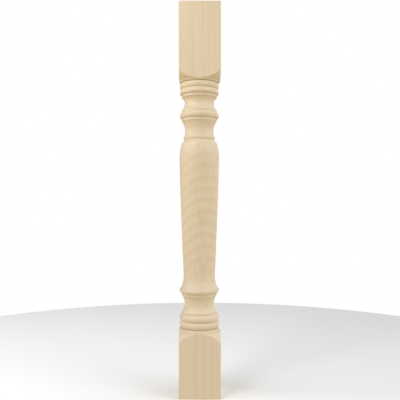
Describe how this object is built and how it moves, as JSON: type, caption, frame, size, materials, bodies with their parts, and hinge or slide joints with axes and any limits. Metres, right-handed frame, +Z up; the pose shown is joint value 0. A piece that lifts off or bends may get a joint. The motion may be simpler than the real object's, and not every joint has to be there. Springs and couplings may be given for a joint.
{
  "type": "turned cabinet column",
  "caption": "Tall square wooden post turned to a beaded, tapering shaft between square blocks, to stand under a worktop at a cabinet's corner and carry it.",
  "frame": {"origin": "centre of the square underside, on the floor", "axes": "+Z up along the post, -Y out of the front face, +X to the right as seen from the front"},
  "size_m": [0.0952, 0.0952, 0.9017],
  "materials": {
    "wood": "bare sanded hardwood, no stain or lacquer"
  },
  "bodies": {
    "root": {"turned_column": "wood"}
  },
  "joints": []
}
